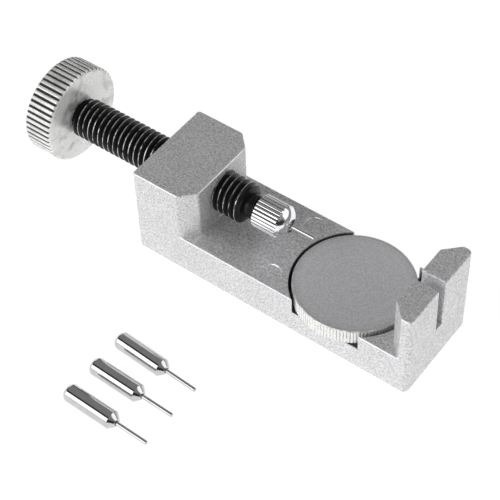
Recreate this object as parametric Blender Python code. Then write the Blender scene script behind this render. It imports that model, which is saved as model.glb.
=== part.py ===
"""Screw press that drives the link pins out of a metal watch band, with three spare pins.

Run with: blender --background --python part.py
Metres, +Z up. X runs along the feed screw, from the knob to the slotted tower, and Y across the
frame. The origin is the centre of the frame's flat underside. Every driving size is named below.
"""

import math

import bmesh
import bpy
from mathutils import Matrix, Vector

MM = 0.001

# Frame: one casting, a base with a tapped tower at the rear and a slotted tower at the front.
FRAME_LENGTH = 60.5 * MM
FRAME_WIDTH = 20.0 * MM
FRAME_HEIGHT = 20.0 * MM
BASE_HEIGHT = 8.8 * MM
REAR_TOWER = 13.2 * MM
REAR_CHAMFER = 2.9 * MM
FRONT_TOWER = 5.0 * MM
FRONT_CHAMFER = 3.0 * MM
REAR_CORNER_RADIUS = 0.6 * MM
FRONT_CORNER_RADIUS = 1.1 * MM
EDGE_ROUND = 0.25 * MM
SLOT_TOP_WIDTH = 2.3 * MM
SLOT_FLOOR_WIDTH = 1.8 * MM
SLOT_STEP = 0.2 * MM

# Screw axis and its metric thread.
AXIS_HEIGHT = 14.8 * MM
THREAD_DIAMETER = 8.0 * MM
THREAD_PITCH = 1.25 * MM
THREAD_CLEARANCE = 0.15 * MM
THREAD_SIDES = 16
THREAD_CREST = 1 / 16
THREAD_ROOT = 1 / 16 + 0.6134 * math.tan(math.radians(30))
THREAD_TAPER = 0.6 * MM
TAPER_STEP = 0.1
THREAD_REACH = 5.7 * MM
CREST_FROM_KNOB = 0.3 * MM

# Knob, driven onto the plain end of the screw.
KNOB_DIAMETER = 19.5 * MM
KNOB_THICKNESS = 6.2 * MM
KNOB_EDGE = 0.5 * MM
KNOB_TEETH = 52
KNOB_TOOTH_DEPTH = 0.45 * MM
KNOB_STANDOFF = 21.1 * MM
SHANK_DIAMETER = 5.8 * MM
SHANK_RECESS = 0.4 * MM

# Chuck: a hollow neck on the screw, and a fluted cap over it that holds the driving pin.
# NOSE_DOME gives points of the nose as shares of its length and of its fall in radius.
NECK_WALL = 0.45 * MM
NECK_SHOWING = 2.25 * MM
NECK_IN_CAP = 2.85 * MM
CAP_WALL = 0.7 * MM
CAP_LENGTH = 6.95 * MM
CAP_NOSE = 1.75 * MM
CAP_NOSE_FACE = 2.6 * MM
NOSE_DOME = ((0.45, 0.3), (0.85, 0.75))
CAP_EDGE = 0.2 * MM
CAP_FLUTES = 26
CAP_FLUTE_DEPTH = 0.28 * MM

# Where a tooth's flat ends and where its groove is deepest, as shares of the tooth's pitch.
TOOTH_FLAT = 0.45
TOOTH_GROOVE = 0.72

# Driving pins: a turned body with a hardened needle set in its nose.
PIN_DIAMETER = 3.5 * MM
PIN_BODY_LENGTH = 10.3 * MM
PIN_NOSE_LENGTH = 1.0 * MM
PIN_NOSE_DIAMETER = 1.7 * MM
PIN_NOSE_IN_CAP_NOSE = 0.05
PIN_EDGE = 0.35 * MM
NEEDLE_DIAMETER = 0.8 * MM
NEEDLE_SHOWING = 6.9 * MM
NEEDLE_DEPTH = 2.5 * MM
NEEDLE_TIP = 0.12 * MM

# Height-adjusting table: a round plate on a stud, sunk in a pocket of the base. The plate sits a
# little nearer the screw than the middle of its pocket.
TABLE_DIAMETER = 22.9 * MM
TABLE_THICKNESS = 3.3 * MM
TABLE_EDGE = 0.3 * MM
POCKET_TO_TOWER = 12.5 * MM
TABLE_SET_BACK = 0.3 * MM
POCKET_MARGIN = 0.85 * MM
STUD_DIAMETER = 4.9 * MM
SPIGOT_DIAMETER = 4.0 * MM
SPIGOT_HEIGHT = 1.6 * MM
STUD_RECESS = 0.5 * MM

# Spare pins, lying beside the frame.
SPARE_COUNT = 3
SPARE_FROM_REAR = 12.4 * MM
SPARE_FROM_SIDE = 20.9 * MM
SPARE_SPACING = 7.1 * MM
SPARE_YAW = (-3.0, -1.4, -1.2)

# Gaps between pieces that touch in the real tool.
FIT = 0.2 * MM
END_GAP = 0.3 * MM
CUT_PAST = 2.0 * MM

ROUND_SIDES = 32
TABLE_SIDES = 72
ALONG_X = Matrix.Rotation(math.radians(90), 4, "Y")
UPRIGHT = Matrix.Identity(4)

# Places that follow from the sizes above.
REAR_FACE = -FRAME_LENGTH / 2
FRONT_FACE = FRAME_LENGTH / 2
REAR_TOWER_FACE = REAR_FACE + REAR_TOWER
FRONT_TOWER_FACE = FRONT_FACE - FRONT_TOWER
POCKET_X = FRONT_TOWER_FACE - POCKET_TO_TOWER
TABLE_X = POCKET_X - TABLE_SET_BACK
POCKET_FLOOR = BASE_HEIGHT - TABLE_THICKNESS - END_GAP
KNOB_FACE = REAR_FACE - KNOB_STANDOFF
THREAD_ORIGIN = KNOB_FACE + CREST_FROM_KNOB
THREAD_END = REAR_TOWER_FACE + THREAD_REACH
NECK_START = THREAD_END + THREAD_TAPER
CAP_START = NECK_START + NECK_SHOWING
CAP_END = CAP_START + CAP_LENGTH
NECK_END = CAP_START + NECK_IN_CAP
SOCKET_DIAMETER = PIN_DIAMETER + 2 * FIT
NECK_DIAMETER = SOCKET_DIAMETER + 2 * NECK_WALL
CAP_DIAMETER = NECK_DIAMETER + 2 * FIT + 2 * CAP_WALL
PIN_NOSE_END = CAP_END - CAP_NOSE + PIN_NOSE_IN_CAP_NOSE * PIN_NOSE_LENGTH
PIN_START = PIN_NOSE_END - PIN_NOSE_LENGTH - PIN_BODY_LENGTH


def thread_sizes(diameter, pitch, clearance):
    """Return the root and crest radii of a thread, grown by clearance for a tapped hole."""
    crest = diameter / 2 + clearance
    root = diameter / 2 - 0.6134 * pitch + clearance
    return root, crest


def material(name, colour, roughness, metallic):
    """Make one Principled BSDF material."""
    made = bpy.data.materials.new(name)
    made.use_nodes = True
    shader = made.node_tree.nodes["Principled BSDF"]
    shader.inputs["Base Color"].default_value = (*colour, 1.0)
    shader.inputs["Roughness"].default_value = roughness
    shader.inputs["Metallic"].default_value = metallic
    made.diffuse_color = (*colour, 1.0)
    return made


def clear_scene():
    """Remove whatever the new file holds."""
    for thing in list(bpy.data.objects):
        bpy.data.objects.remove(thing, do_unlink=True)


def add_object(name, mesh_tool, surface=None, location=(0, 0, 0)):
    """Turn a finished bmesh into a named object, shaded smooth between sharp edges."""
    bmesh.ops.recalc_face_normals(mesh_tool, faces=mesh_tool.faces)
    mesh = bpy.data.meshes.new(name)
    mesh_tool.to_mesh(mesh)
    mesh_tool.free()
    mesh.shade_smooth()
    mesh.set_sharp_from_angle(angle=math.radians(30))
    made = bpy.data.objects.new(name, mesh)
    made.location = location
    if surface:
        mesh.materials.append(surface)
    bpy.context.scene.collection.objects.link(made)
    return made


def as_tool(thing):
    """Mark an object as a cutter that is never part of the result."""
    thing.hide_render = True
    thing.display_type = "WIRE"
    return thing


def combine(target, tool, operation):
    """Add one exact Boolean to a piece."""
    step = target.modifiers.new(f"{operation.lower()}_{tool.name}", "BOOLEAN")
    step.operation = operation
    step.solver = "EXACT"
    step.object = tool
    return step


def turned(name, profile, sides, turn_axis, surface=None, location=(0, 0, 0)):
    """Turn a closed piece from (distance along the axis, radius) points, first and last on axis."""
    tool = bmesh.new()
    points = [tool.verts.new((radius, 0, along)) for along, radius in profile]
    edges = [tool.edges.new(pair) for pair in zip(points, points[1:])]
    bmesh.ops.spin(tool, geom=points + edges, cent=(0, 0, 0), axis=(0, 0, 1),
                   angle=math.tau, steps=sides, use_merge=True)
    bmesh.ops.remove_doubles(tool, verts=tool.verts, dist=0.001 * MM)
    bmesh.ops.transform(tool, matrix=turn_axis, verts=tool.verts)
    return add_object(name, tool, surface, location)


def prism(name, outline, depth, surface=None, location=(0, 0, 0)):
    """Extrude a closed outline of 3-D points by the depth vector."""
    tool = bmesh.new()
    face = tool.faces.new([tool.verts.new(point) for point in outline])
    grown = bmesh.ops.extrude_face_region(tool, geom=[face], use_keep_orig=True)
    moved = [item for item in grown["geom"] if isinstance(item, bmesh.types.BMVert)]
    bmesh.ops.translate(tool, vec=depth, verts=moved)
    return add_object(name, tool, surface, location)


def toothed_bar(name, radius, tooth_depth, teeth, start, length, location):
    """Extrude a straight-knurled outline along X, with a flat top and a V between teeth."""
    outline = []
    for tooth in range(teeth):
        for share, reach in ((0, radius), (TOOTH_FLAT, radius), (TOOTH_GROOVE, radius - tooth_depth)):
            angle = math.tau * (tooth + share) / teeth
            outline.append((start, reach * math.cos(angle), reach * math.sin(angle)))
    return as_tool(prism(name, outline, Vector((length, 0, 0)), None, location))


def thread_radius(turns, root, crest):
    """Return the radius of a thread's outline at a place counted in turns from a crest."""
    away = abs((turns + 0.5) % 1 - 0.5)
    share = (away - THREAD_CREST) / (THREAD_ROOT - THREAD_CREST)
    return crest + (root - crest) * min(max(share, 0), 1)


def threaded(name, sizes, origin, before, after, limit, surface=None):
    """Build a right-handed thread along X between two turned ends.

    sizes is (root radius, crest radius). A crest starts at origin, on the +Y side. before and
    after are (distance along the axis, radius) points: the thread starts where before ends and
    ends where after starts. limit gives the stock's radius at a distance along the axis.
    """
    start = before[-1][0]
    end = after[0][0]
    snap = 0.02 * THREAD_PITCH
    tool = bmesh.new()
    made = {}

    def place(key, along, radius, column):
        if key not in made:
            angle = math.tau * column / THREAD_SIDES
            made[key] = tool.verts.new((along, radius * math.cos(angle), radius * math.sin(angle)))
        return made[key]

    def thread_corner(line, column):
        turn, corner = divmod(line, 4)
        turn += column // THREAD_SIDES
        column %= THREAD_SIDES
        offset = (-THREAD_ROOT, -THREAD_CREST, THREAD_CREST, THREAD_ROOT)[corner]
        along = origin + THREAD_PITCH * (turn + offset + column / THREAD_SIDES)
        key = (turn, corner, column)
        if along < start + snap:
            along, key = start, ("start", column)
        elif along > end - snap:
            along, key = end, ("end", column)
        turns = (along - origin) / THREAD_PITCH - column / THREAD_SIDES
        return place(key, along, min(thread_radius(turns, *sizes), limit(along)), column)

    def ring_corner(side, index, point, column):
        column = column % THREAD_SIDES if point[1] else 0
        return place((side, index, column), *point, column)

    def add_face(corners):
        distinct = list(dict.fromkeys(corners))
        if len(distinct) > 2:
            tool.faces.new(distinct)

    first = 4 * math.floor((start - origin) / THREAD_PITCH - 2)
    last = 4 * math.ceil((end - origin) / THREAD_PITCH + 1)
    for column in range(THREAD_SIDES):
        for line in range(first, last):
            add_face([thread_corner(line, column), thread_corner(line + 1, column),
                      thread_corner(line + 1, column + 1), thread_corner(line, column + 1)])
        for side, rings in (("start", before[-2::-1]), ("end", after[1:])):
            near = [made[(side, column)], made[(side, (column + 1) % THREAD_SIDES)]]
            for index, point in enumerate(rings):
                far = [ring_corner(side, index, point, column + step) for step in (0, 1)]
                add_face([near[0], near[1], far[1], far[0]])
                near = far
    bmesh.ops.triangulate(tool, faces=tool.faces)
    return add_object(name, tool, surface, (0, 0, AXIS_HEIGHT))


def frame_block():
    """Make the plain block that the frame is cut from, with its upright corners rounded."""
    tool = bmesh.new()
    bmesh.ops.create_cube(tool, size=1.0)
    bmesh.ops.scale(tool, vec=(FRAME_LENGTH, FRAME_WIDTH, FRAME_HEIGHT), verts=tool.verts)
    bmesh.ops.translate(tool, vec=(0, 0, FRAME_HEIGHT / 2), verts=tool.verts)
    for radius, side in ((REAR_CORNER_RADIUS, -1), (FRONT_CORNER_RADIUS, 1)):
        upright = [edge for edge in tool.edges
                   if abs(edge.verts[0].co.z - edge.verts[1].co.z) > FRAME_HEIGHT / 2
                   and edge.verts[0].co.x * side > FRAME_LENGTH / 4]
        bmesh.ops.bevel(tool, geom=upright, offset=radius, segments=4, profile=0.5,
                        affect="EDGES", clamp_overlap=True)
    return add_object("frame", tool, material("cast_alloy", (0.60, 0.61, 0.62), 0.42, 0.75))


def throat_cutter():
    """Make the space between the towers, whose plan flares at the chamfered corners."""
    half = FRAME_WIDTH / 2
    past = CUT_PAST
    plan = [(REAR_TOWER_FACE, half - REAR_CHAMFER),
            (REAR_TOWER_FACE - REAR_CHAMFER - past, half + past),
            (FRONT_TOWER_FACE + FRONT_CHAMFER + past, half + past),
            (FRONT_TOWER_FACE, half - FRONT_CHAMFER)]
    mirrored = [(x, -y) for x, y in reversed(plan)]
    outline = [(x, y, BASE_HEIGHT) for x, y in plan + mirrored]
    depth = Vector((0, 0, FRAME_HEIGHT - BASE_HEIGHT + past))
    return as_tool(prism("throat_cutter", outline, depth))


def slot_cutter():
    """Make the pin slot, which narrows towards its floor as a cast slot does."""
    start = FRONT_TOWER_FACE - CUT_PAST
    floor = BASE_HEIGHT + SLOT_STEP
    top = FRAME_HEIGHT + CUT_PAST
    widen = (SLOT_TOP_WIDTH - SLOT_FLOOR_WIDTH) / (FRAME_HEIGHT - floor)
    half_floor = SLOT_FLOOR_WIDTH / 2
    half_top = half_floor + widen * (top - floor) / 2
    outline = [(start, -half_floor, floor), (start, half_floor, floor),
               (start, half_top, top), (start, -half_top, top)]
    depth = Vector((FRONT_TOWER + 2 * CUT_PAST, 0, 0))
    return as_tool(prism("slot_cutter", outline, depth))


def pocket_cutter():
    """Make the table's pocket and the hole for its stud as one stepped round cutter."""
    pocket = TABLE_DIAMETER / 2 + POCKET_MARGIN
    hole = STUD_DIAMETER / 2 + FIT
    top = FRAME_HEIGHT + CUT_PAST
    profile = [(-CUT_PAST, 0), (-CUT_PAST, hole), (POCKET_FLOOR, hole), (POCKET_FLOOR, pocket),
               (top, pocket), (top, 0)]
    tool = turned("pocket_cutter", profile, TABLE_SIDES, UPRIGHT, None, (POCKET_X, 0, 0))
    for vert in tool.data.vertices:
        if vert.co.xy.length < (hole + pocket) / 2 and vert.co.z < BASE_HEIGHT:
            vert.co.x -= TABLE_SET_BACK
    return as_tool(tool)


def tap_cutter():
    """Make the threaded cutter for the hole through the rear tower, in step with the screw."""
    sizes = thread_sizes(THREAD_DIAMETER, THREAD_PITCH, THREAD_CLEARANCE)
    start = REAR_FACE - CUT_PAST
    end = REAR_TOWER_FACE + CUT_PAST
    return as_tool(threaded("tap_cutter", sizes, THREAD_ORIGIN, [(start, 0), (start, 0)],
                            [(end, 0), (end, 0)], lambda along: sizes[1]))


def build_frame():
    """Cut the throat, the table pocket, the stud hole, the slot and the thread."""
    frame = frame_block()
    combine(frame, throat_cutter(), "DIFFERENCE")
    edges = frame.modifiers.new("cast_edges", "BEVEL")
    edges.width = EDGE_ROUND
    edges.segments = 2
    edges.limit_method = "ANGLE"
    edges.angle_limit = math.radians(30)
    for cutter in (pocket_cutter(), slot_cutter(), tap_cutter()):
        combine(frame, cutter, "DIFFERENCE")
    return frame


def build_feed_screw():
    """Turn the screw, with a shank for the knob, its thread, a taper and the hollow neck."""
    root, crest = thread_sizes(THREAD_DIAMETER, THREAD_PITCH, 0)
    shank = SHANK_DIAMETER / 2
    neck = NECK_DIAMETER / 2
    socket = SOCKET_DIAMETER / 2
    socket_floor = PIN_START - END_GAP
    shank_end = KNOB_FACE - KNOB_THICKNESS + SHANK_RECESS
    thread_start = KNOB_FACE + END_GAP
    taper_end = neck + TAPER_STEP * (crest - neck)

    def stock_radius(along):
        share = (along - THREAD_END) / THREAD_TAPER
        return crest + (taper_end - crest) * min(max(share, 0), 1)

    before = [(shank_end, 0), (shank_end, shank), (thread_start, shank), (thread_start, root)]
    after = [(NECK_START, taper_end), (NECK_START, neck), (NECK_END, neck), (NECK_END, socket),
             (socket_floor, socket), (socket_floor, 0)]
    black = material("black_oxide", (0.025, 0.025, 0.028), 0.32, 0.6)
    return threaded("feed_screw", (root, crest), THREAD_ORIGIN, before, after, stock_radius, black)


def build_knob():
    """Knurl the rim, round its edges and bore it for the shank."""
    axis = (0, 0, AXIS_HEIGHT)
    rim = KNOB_DIAMETER / 2
    back = KNOB_FACE - KNOB_THICKNESS
    bore = SHANK_DIAMETER / 2 + FIT
    blank = [(back, 0), (back, rim - KNOB_EDGE), (back + KNOB_EDGE, rim + EDGE_ROUND),
             (KNOB_FACE - KNOB_EDGE, rim + EDGE_ROUND), (KNOB_FACE, rim - KNOB_EDGE), (KNOB_FACE, 0)]
    bright = material("bright_machined", (0.80, 0.80, 0.79), 0.25, 0.9)
    knob = turned("knob", blank, 2 * ROUND_SIDES, ALONG_X, bright, axis)
    teeth = toothed_bar("knob_teeth", rim, KNOB_TOOTH_DEPTH, KNOB_TEETH, back - CUT_PAST,
                        KNOB_THICKNESS + 2 * CUT_PAST, axis)
    hole = [(back - CUT_PAST, 0), (back - CUT_PAST, bore), (KNOB_FACE + CUT_PAST, bore),
            (KNOB_FACE + CUT_PAST, 0)]
    combine(knob, teeth, "INTERSECT")
    combine(knob, as_tool(turned("knob_bore", hole, ROUND_SIDES, ALONG_X, None, axis)), "DIFFERENCE")
    return knob


def build_chuck_cap():
    """Turn the cap with its blunt nose, flute it, and bore it for the neck, pin and needle."""
    axis = (0, 0, AXIS_HEIGHT)
    skirt = CAP_DIAMETER / 2
    face = CAP_NOSE_FACE / 2
    nose = CAP_END - CAP_NOSE
    dome = [(nose + along * CAP_NOSE, skirt - fall * (skirt - face)) for along, fall in NOSE_DOME]
    blank = [(CAP_START, 0), (CAP_START, skirt - CAP_EDGE), (CAP_START + CAP_EDGE, skirt),
             (nose, skirt), *dome, (CAP_END, face), (CAP_END, 0)]
    chrome = material("bright_plate", (0.82, 0.82, 0.84), 0.12, 1.0)
    cap = turned("chuck_cap", blank, 2 * ROUND_SIDES, ALONG_X, chrome, axis)
    flutes = toothed_bar("cap_flutes", skirt, CAP_FLUTE_DEPTH, CAP_FLUTES, CAP_START - CUT_PAST,
                         CAP_LENGTH + 2 * CUT_PAST, axis)
    neck_bore = NECK_DIAMETER / 2 + FIT
    pin_bore = PIN_DIAMETER / 2 + FIT
    needle_bore = NEEDLE_DIAMETER / 2 + FIT
    seat = PIN_NOSE_END - PIN_NOSE_LENGTH + FIT
    nose_slope = (PIN_DIAMETER - PIN_NOSE_DIAMETER) / 2 / PIN_NOSE_LENGTH
    seat_end = seat + (pin_bore - needle_bore) / nose_slope
    bore = [(CAP_START - CUT_PAST, 0), (CAP_START - CUT_PAST, neck_bore),
            (NECK_END + END_GAP, neck_bore), (NECK_END + END_GAP, pin_bore), (seat, pin_bore),
            (seat_end, needle_bore), (CAP_END + CUT_PAST, needle_bore), (CAP_END + CUT_PAST, 0)]
    combine(cap, flutes, "INTERSECT")
    combine(cap, as_tool(turned("cap_bore", bore, ROUND_SIDES, ALONG_X, None, axis)), "DIFFERENCE")
    return cap


def build_pin(name, bodies, needles, location, yaw=0.0):
    """Build one driving pin along X, from the rear face of its body, on a holder."""
    holder = bpy.data.objects.new(f"{name}_place", None)
    holder.location = location
    holder.rotation_euler.z = math.radians(yaw)
    bpy.context.scene.collection.objects.link(holder)
    wide = PIN_DIAMETER / 2
    tip = PIN_NOSE_DIAMETER / 2
    thin = NEEDLE_DIAMETER / 2
    nose_end = PIN_BODY_LENGTH + PIN_NOSE_LENGTH
    hole_floor = nose_end - NEEDLE_DEPTH
    hole = thin + FIT / 2
    body = turned(f"{name}_body",
                  [(0, 0), (0, wide - PIN_EDGE), (PIN_EDGE, wide), (PIN_BODY_LENGTH, wide),
                   (nose_end, tip), (nose_end, hole), (hole_floor, hole), (hole_floor, 0)],
                  ROUND_SIDES, ALONG_X, bodies)
    needle_end = nose_end + NEEDLE_SHOWING
    needle = turned(f"{name}_needle",
                    [(hole_floor + END_GAP, 0), (hole_floor + END_GAP, thin),
                     (needle_end - NEEDLE_TIP, thin), (needle_end, thin - NEEDLE_TIP), (needle_end, 0)],
                    ROUND_SIDES // 2, ALONG_X, needles)
    body.parent = holder
    needle.parent = holder
    return holder


def build_pins():
    """Put one pin in the chuck and lay the spares side by side on the ground."""
    bodies = material("pin_steel", (0.66, 0.66, 0.67), 0.18, 1.0)
    needles = material("needle_steel", (0.72, 0.72, 0.73), 0.14, 1.0)
    build_pin("driver_pin", bodies, needles, (PIN_START, 0, AXIS_HEIGHT))
    for index in range(SPARE_COUNT):
        place = (REAR_FACE + SPARE_FROM_REAR,
                 -FRAME_WIDTH / 2 - SPARE_FROM_SIDE - index * SPARE_SPACING,
                 PIN_DIAMETER / 2)
        build_pin(f"spare_pin_{index + 1}", bodies, needles, place, SPARE_YAW[index])


def build_table():
    """Turn the round plate and the stud it stands on."""
    steel = material("turned_steel", (0.55, 0.55, 0.55), 0.38, 0.9)
    stud_steel = material("stud_steel", (0.45, 0.45, 0.46), 0.35, 0.9)
    rim = TABLE_DIAMETER / 2
    under = BASE_HEIGHT - TABLE_THICKNESS
    spigot = SPIGOT_DIAMETER / 2
    stud = STUD_DIAMETER / 2
    axis = (TABLE_X, 0, 0)
    hole_top = under + SPIGOT_HEIGHT + END_GAP
    plate = [(hole_top, 0), (hole_top, spigot + FIT), (under, spigot + FIT),
             (under, rim - TABLE_EDGE), (under + TABLE_EDGE, rim), (BASE_HEIGHT - TABLE_EDGE, rim),
             (BASE_HEIGHT, rim - TABLE_EDGE), (BASE_HEIGHT, 0)]
    turned("table_plate", plate, TABLE_SIDES, UPRIGHT, steel, axis)
    shoulder = under - END_GAP
    post = [(STUD_RECESS, 0), (STUD_RECESS, stud - TABLE_EDGE), (STUD_RECESS + TABLE_EDGE, stud),
            (shoulder, stud), (shoulder, spigot), (under + SPIGOT_HEIGHT, spigot),
            (under + SPIGOT_HEIGHT, 0)]
    turned("table_stud", post, ROUND_SIDES, UPRIGHT, stud_steel, axis)


def main():
    """Build every piece of the tool."""
    clear_scene()
    build_frame()
    build_feed_screw()
    build_knob()
    build_chuck_cap()
    build_pins()
    build_table()


main()
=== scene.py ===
"""Dresses the watch band link pin press: its cast frame, feed screw, chuck, table and pins.

It is laid out as an add-on and run as a script. Everything is in metres, in the CAD frame: X runs
along the feed screw from the knob to the slotted tower, Y across the frame and Z up.
"""

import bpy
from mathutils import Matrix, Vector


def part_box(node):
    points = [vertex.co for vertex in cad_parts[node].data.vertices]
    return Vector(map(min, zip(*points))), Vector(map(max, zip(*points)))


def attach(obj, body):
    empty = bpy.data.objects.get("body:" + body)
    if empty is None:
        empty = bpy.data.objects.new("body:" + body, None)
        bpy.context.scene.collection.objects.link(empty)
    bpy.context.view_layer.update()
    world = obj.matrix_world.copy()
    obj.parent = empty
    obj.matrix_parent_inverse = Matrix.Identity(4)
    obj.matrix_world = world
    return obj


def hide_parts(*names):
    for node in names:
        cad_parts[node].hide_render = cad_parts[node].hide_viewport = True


bl_info = {
    "name": "Link Pin Press",
    "version": (1, 0, 0),
    "blender": (4, 5, 0),
    "location": "View3D > Sidebar > Pin Press",
    "description": "Models and finishes a screw press for watch band link pins on its CAD frame",
    "category": "Object",
}

import math

import bmesh
import bpy
from mathutils import Matrix, Vector

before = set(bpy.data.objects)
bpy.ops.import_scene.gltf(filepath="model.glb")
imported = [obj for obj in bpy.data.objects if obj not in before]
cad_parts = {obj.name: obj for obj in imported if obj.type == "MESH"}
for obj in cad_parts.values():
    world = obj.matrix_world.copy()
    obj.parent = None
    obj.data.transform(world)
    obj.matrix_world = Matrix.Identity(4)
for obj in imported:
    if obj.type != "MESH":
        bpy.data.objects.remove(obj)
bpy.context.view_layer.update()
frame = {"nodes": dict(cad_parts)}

MM = 0.001
SMOOTH_BELOW = math.radians(32)
PIN_SMOOTH_BELOW = math.radians(18)
SHARP_ABOVE = math.radians(30)
MERGE = 0.001 * MM
CUT_PAST = 2.0 * MM  # how far a cutter goes on past the metal
OVERSIZE = 0.1 * MM  # how far a blank stands past the teeth that it trims
FACING = 0.99  # least cosine between a face's normal and the way it faces
ROUND_SIDES = 64
RIM_SIDES = 256
NEEDLE_SIDES = 32
MARK_SIDES = 48
POCKET_SIDES = 144
PIP_SIDES = 24
THREAD_STEPS = 48
DOME_STEPS = 12
EDGE_STEPS = 3
THREAD_DEPTH = 0.6134  # share of the pitch

# One turn of thread outline: (shares of the pitch from the crest, share of the thread's depth).
THREAD_OUTLINE = ((-0.5, 0.0), (-0.43, 0.01), (-0.39, 0.08), (-0.095, 0.92), (-0.055, 1.0),
                  (0.055, 1.0), (0.095, 0.92), (0.39, 0.08), (0.43, 0.01), (0.5, 0.0))
# Points of one knurl tooth, as shares of the groove's depth.
KNOB_TOOTH = (0.10, 0.02, 0.0, 0.02, 0.10, 0.62, 1.0, 0.62)
FLUTE_TOOTH = (0.30, 0.10, 0.02, 0.0, 0.02, 0.10, 0.30, 1.0)
FINE_TOOTH = (0.0, 0.1, 1.0, 0.1)

FRAME_LOW, FRAME_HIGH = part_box("frame")
SCREW_LOW, SCREW_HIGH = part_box("feed_screw")
KNOB_LOW, KNOB_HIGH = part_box("knob")
CAP_LOW, CAP_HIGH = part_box("chuck_cap")
PLATE_LOW, PLATE_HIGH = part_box("table_plate")
STUD_LOW, STUD_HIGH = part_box("table_stud")
PIN_LOW, PIN_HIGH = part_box("driver_pin_body")
NEEDLE_LOW, NEEDLE_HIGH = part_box("driver_pin_needle")
KNOB_RADIUS = (KNOB_HIGH.z - KNOB_LOW.z) / 2
CAP_RADIUS = (CAP_HIGH.z - CAP_LOW.z) / 2
PLATE_RADIUS = (PLATE_HIGH.y - PLATE_LOW.y) / 2
STUD_RADIUS = (STUD_HIGH.y - STUD_LOW.y) / 2
PIN_RADIUS = (PIN_HIGH.z - PIN_LOW.z) / 2
NEEDLE_RADIUS = (NEEDLE_HIGH.z - NEEDLE_LOW.z) / 2
AXIS_HEIGHT = (PIN_LOW.z + PIN_HIGH.z) / 2
TABLE_X = (PLATE_LOW.x + PLATE_HIGH.x) / 2

# How many features each pattern has to a metre.
CAST_GRAINS = 2700
CAST_FLECKS = 3300
CAST_DRIFT = 160
OXIDE_SCUFFS = 900
OXIDE_GRAINS = 6000
KNOB_RINGS = 9000.0
KNOB_CLOUDS = 380
KNOB_GRAINS = 2600
PLATING_HAZE = 1500
PIN_LINES = 14000.0
NEEDLE_LINES = 9000.0
STEEL_SMEARS = 700
TABLE_RINGS = 2600.0
TABLE_GRAINS = 2600
TABLE_FLECKS = 3400
STUD_GRAINS = 2800

# Where the studio's light starts and ends, as the X, Y or Z of a direction: each pair is a fade.
FRONT_X = ((-0.85, -0.70), (0.15, 0.50))
FRONT_Y = (-0.50, -0.15)
FRONT_LOW_Z = (0.14, 0.28)
FRONT_TOP_Z = (0.68, 0.71)
FRONT_LOW_SHARE = 0.32
SIDE_X = (0.40, 0.55)
SIDE_Y = (0.02, 0.16)
SIDE_Z = ((0.26, 0.34), (0.62, 0.70))
DARK_X = (0.45, 0.60)
DARK_Y = (-0.15, 0.0)
DARK_Z = (0.40, 0.50)
SEAM_Y = (-0.30, -0.20)
SEAM_Z = ((0.70, 0.73), (0.83, 0.87))
REAR_X = (-0.93, -0.84)
DARK_SHARE = 0.85
WHITE = (1.0, 1.0, 1.0, 1.0)


def length(label, description, millimetres):
    """Describe one length."""
    return bpy.props.FloatProperty(name=label, description=description, default=millimetres * MM,
                                   min=0.0, precision=5, unit="LENGTH", subtype="DISTANCE")


def turn_angle(label, description, degrees):
    """Describe one angle."""
    return bpy.props.FloatProperty(name=label, description=description, unit="ROTATION",
                                   default=math.radians(degrees), subtype="ANGLE")


def count(label, description, default):
    """Describe one whole number of things."""
    return bpy.props.IntProperty(name=label, description=description, default=default, min=1)


def level(label, description, default):
    """Describe one plain number from nothing upwards."""
    return bpy.props.FloatProperty(name=label, description=description, default=default, min=0.0)


def colour(label, description, default):
    """Describe one colour."""
    return bpy.props.FloatVectorProperty(name=label, description=description, default=default,
                                         size=3, min=0.0, max=1.0, subtype="COLOR")


def pointer(label, description, kind):
    """Describe one group of settings."""
    return bpy.props.PointerProperty(name=label, description=description, type=kind)


class FrameSizes(bpy.types.PropertyGroup):
    """Sizes of the cast frame."""

    base_height: length("Base height", "Height of the base's top", 8.8)
    rear_tower: length("Rear tower", "Length of the tapped tower", 13.2)
    rear_chamfer: length("Rear chamfer", "Chamfer of the tapped tower's inner corners", 2.9)
    front_tower: length("Front tower", "Length of the slotted tower", 5.0)
    front_chamfer: length("Front chamfer", "Chamfer of the slotted tower's inner corners", 3.0)
    rear_corner: length("Rear corner", "Radius of the upright corners at the rear", 0.6)
    front_corner: length("Front corner", "Radius of the upright corners at the front", 1.1)
    edge_round: length("Edge round", "Radius of the cast edges", 0.27)
    slot_top: length("Slot top", "Width of the pin slot at its top", 2.3)
    slot_floor: length("Slot floor", "Width of the pin slot at its floor", 1.8)
    slot_step: length("Slot step", "Height of the slot's floor above the base", 0.2)
    slot_edge: length("Slot edge", "Radius of the slot's edges", 0.22)
    pocket_margin: length("Pocket margin", "Space between the table plate and its pocket", 0.85)
    table_set_back: length("Table set back", "From the pocket's middle back to the table's", 0.3)
    pocket_under: length("Pocket under", "Space under the table plate", 0.3)
    pocket_rim: length("Pocket rim", "Chamfer round the pocket", 0.12)
    stud_space: length("Stud space", "Space round the table's stud", 0.2)
    mark_radius: length("Mark radius", "Radius of the ejector marks on the base", 2.0)
    mark_depth: length("Mark depth", "Depth of the ejector marks", 0.18)
    mark_x: length("Mark place", "Distance of the marks behind the frame's middle", 1.35)
    mark_y: length("Mark spread", "Distance of each mark from the frame's centre line", 7.0)


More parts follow.
